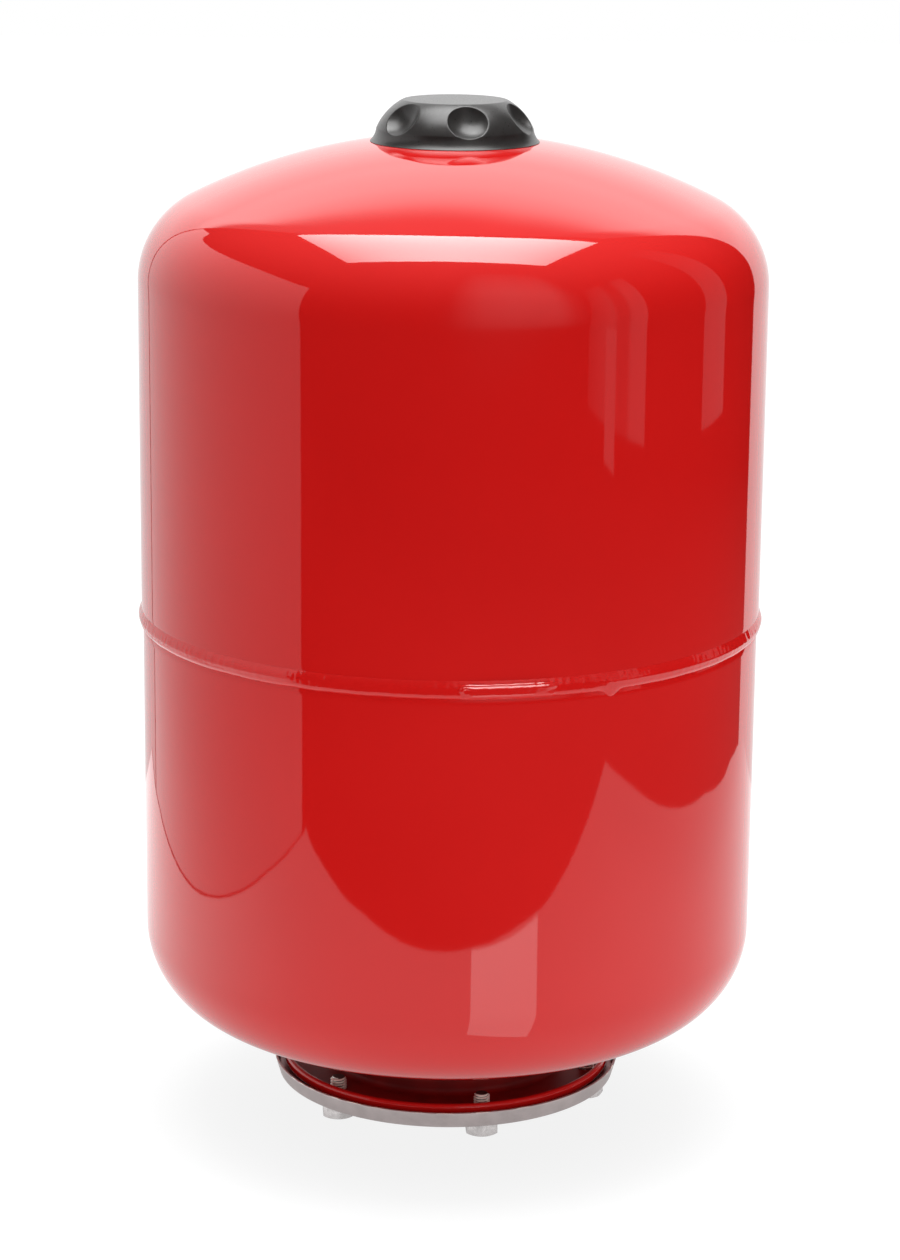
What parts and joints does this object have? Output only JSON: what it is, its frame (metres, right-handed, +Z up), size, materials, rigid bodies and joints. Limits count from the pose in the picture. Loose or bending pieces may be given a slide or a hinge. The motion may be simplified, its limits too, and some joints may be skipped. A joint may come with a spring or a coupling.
{
  "type": "expansion tank",
  "caption": "Red steel expansion tank with a clamped bladder, a bolted lower flange with a male water connection, and an air valve under a dimpled screw cap.",
  "frame": {"origin": "centre of the water connection's lower end, on the tank's axis", "axes": "+Z up along the tank's axis from the water connection to the air valve; one of the six flange screws faces -Y"},
  "size_m": [0.2824, 0.2824, 0.4719],
  "materials": {
    "red_coat": "glossy red powder coat",
    "zinc_plate": "satin zinc plating with faint mottling",
    "bright_zinc": "bright zinc-plated screws",
    "turned_steel": "turned and plated steel",
    "core_brass": "turned brass",
    "spring_steel": "drawn wire",
    "bladder_rubber": "matte black rubber",
    "cap_plastic": "fine-grained black moulded plastic"
  },
  "bodies": {
    "tank": {"upper_shell": "red_coat", "lower_shell": "red_coat", "girth_weld": "red_coat", "tank_flange": "red_coat", "neck_weld": "red_coat", "bladder": "bladder_rubber", "counter_flange": "zinc_plate", "connection_nipple": "zinc_plate", "nipple_weld": "zinc_plate", "flange_bolts": "bright_zinc", "valve_body": "turned_steel", "valve_weld": "red_coat", "core_barrel": "core_brass", "core_seal": "bladder_rubber", "core_spring": "spring_steel"},
    "cap": {"protective_cap": "cap_plastic", "cap_seal": "bladder_rubber"},
    "valve_pin": {"core_pin": "core_brass", "core_cup": "bladder_rubber"}
  },
  "joints": [
    {"name": "cap_lift", "type": "slide", "parent": "tank", "child": "cap", "axis": [0, 0, 1], "range_m": [0, 0.03]},
    {"name": "valve_pin_press", "type": "slide", "parent": "tank", "child": "valve_pin", "axis": [0, 0, -1], "range_m": [0, 0.0012], "stiffness_N_per_m": 600, "springref_m": -0.002, "deforming": ["core_spring"]}
  ]
}
